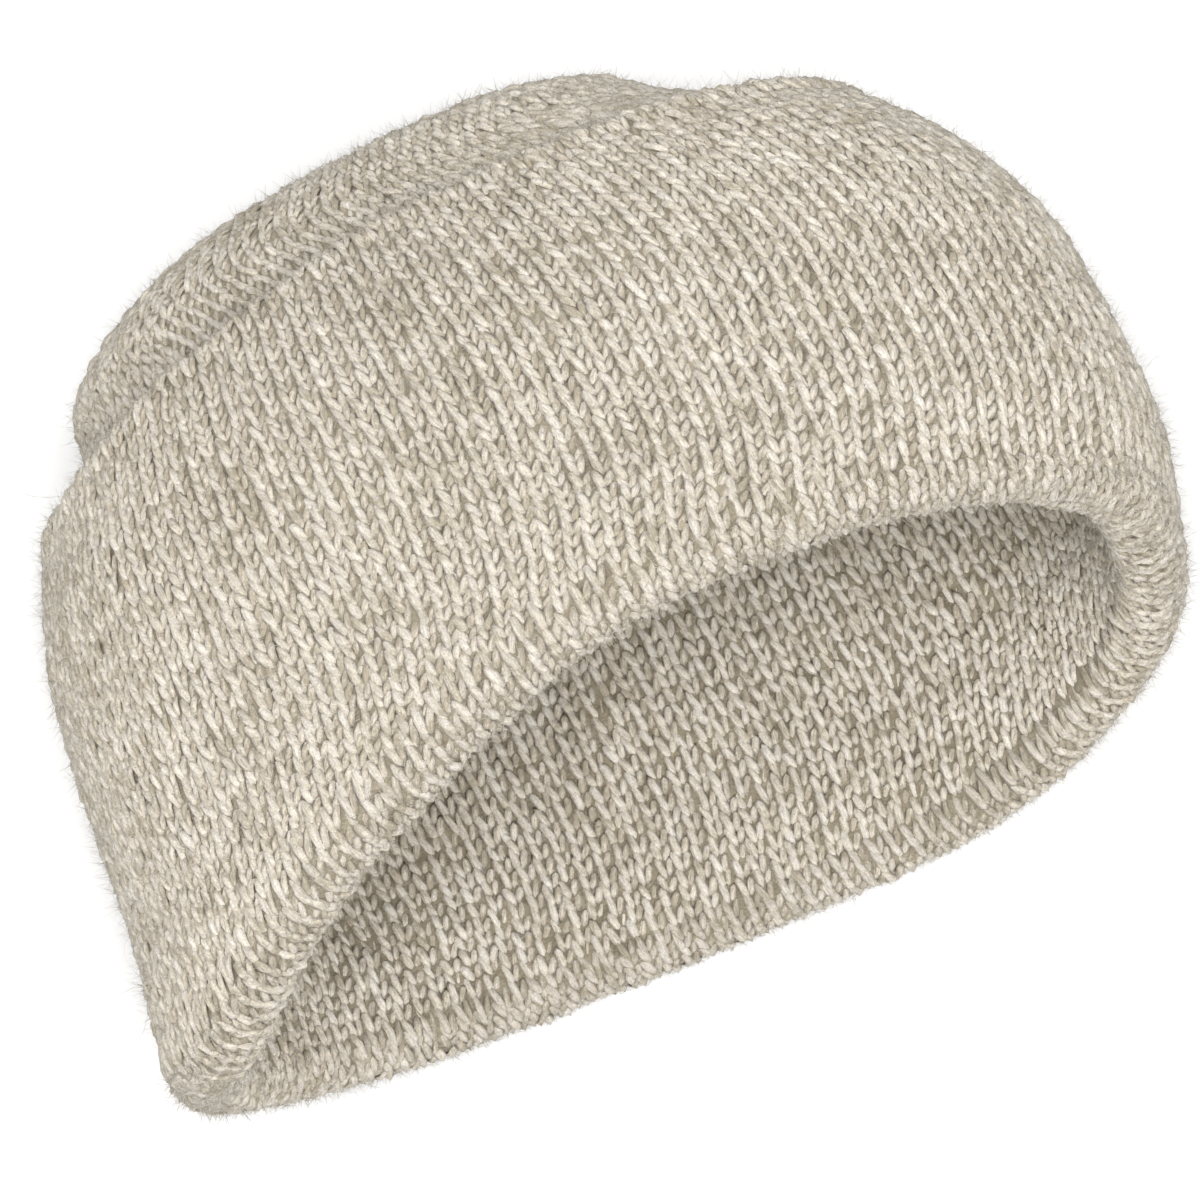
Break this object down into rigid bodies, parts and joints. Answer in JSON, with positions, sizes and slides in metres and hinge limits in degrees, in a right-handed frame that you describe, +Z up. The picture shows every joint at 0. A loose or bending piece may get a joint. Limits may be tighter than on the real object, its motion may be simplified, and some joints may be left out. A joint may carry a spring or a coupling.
{
  "type": "watch cap",
  "caption": "Knitted wool watch cap with a round crown and a tall turned-up cuff, lying on its side with its mouth open",
  "frame": {"origin": "on the surface that the cap lies on, under the middle of the cap", "axes": "+Z up from the surface, +Y from the mouth to the crown, +X across the width of the cap"},
  "size_m": [0.2192, 0.1656, 0.1309],
  "materials": {
    "crown_knit": "heather oatmeal wool, plain knit, soft and matt",
    "cuff_knit": "heather oatmeal wool, plain knit, soft and matt"
  },
  "bodies": {
    "root": {"crown": "crown_knit", "cuff": "cuff_knit"}
  },
  "joints": []
}
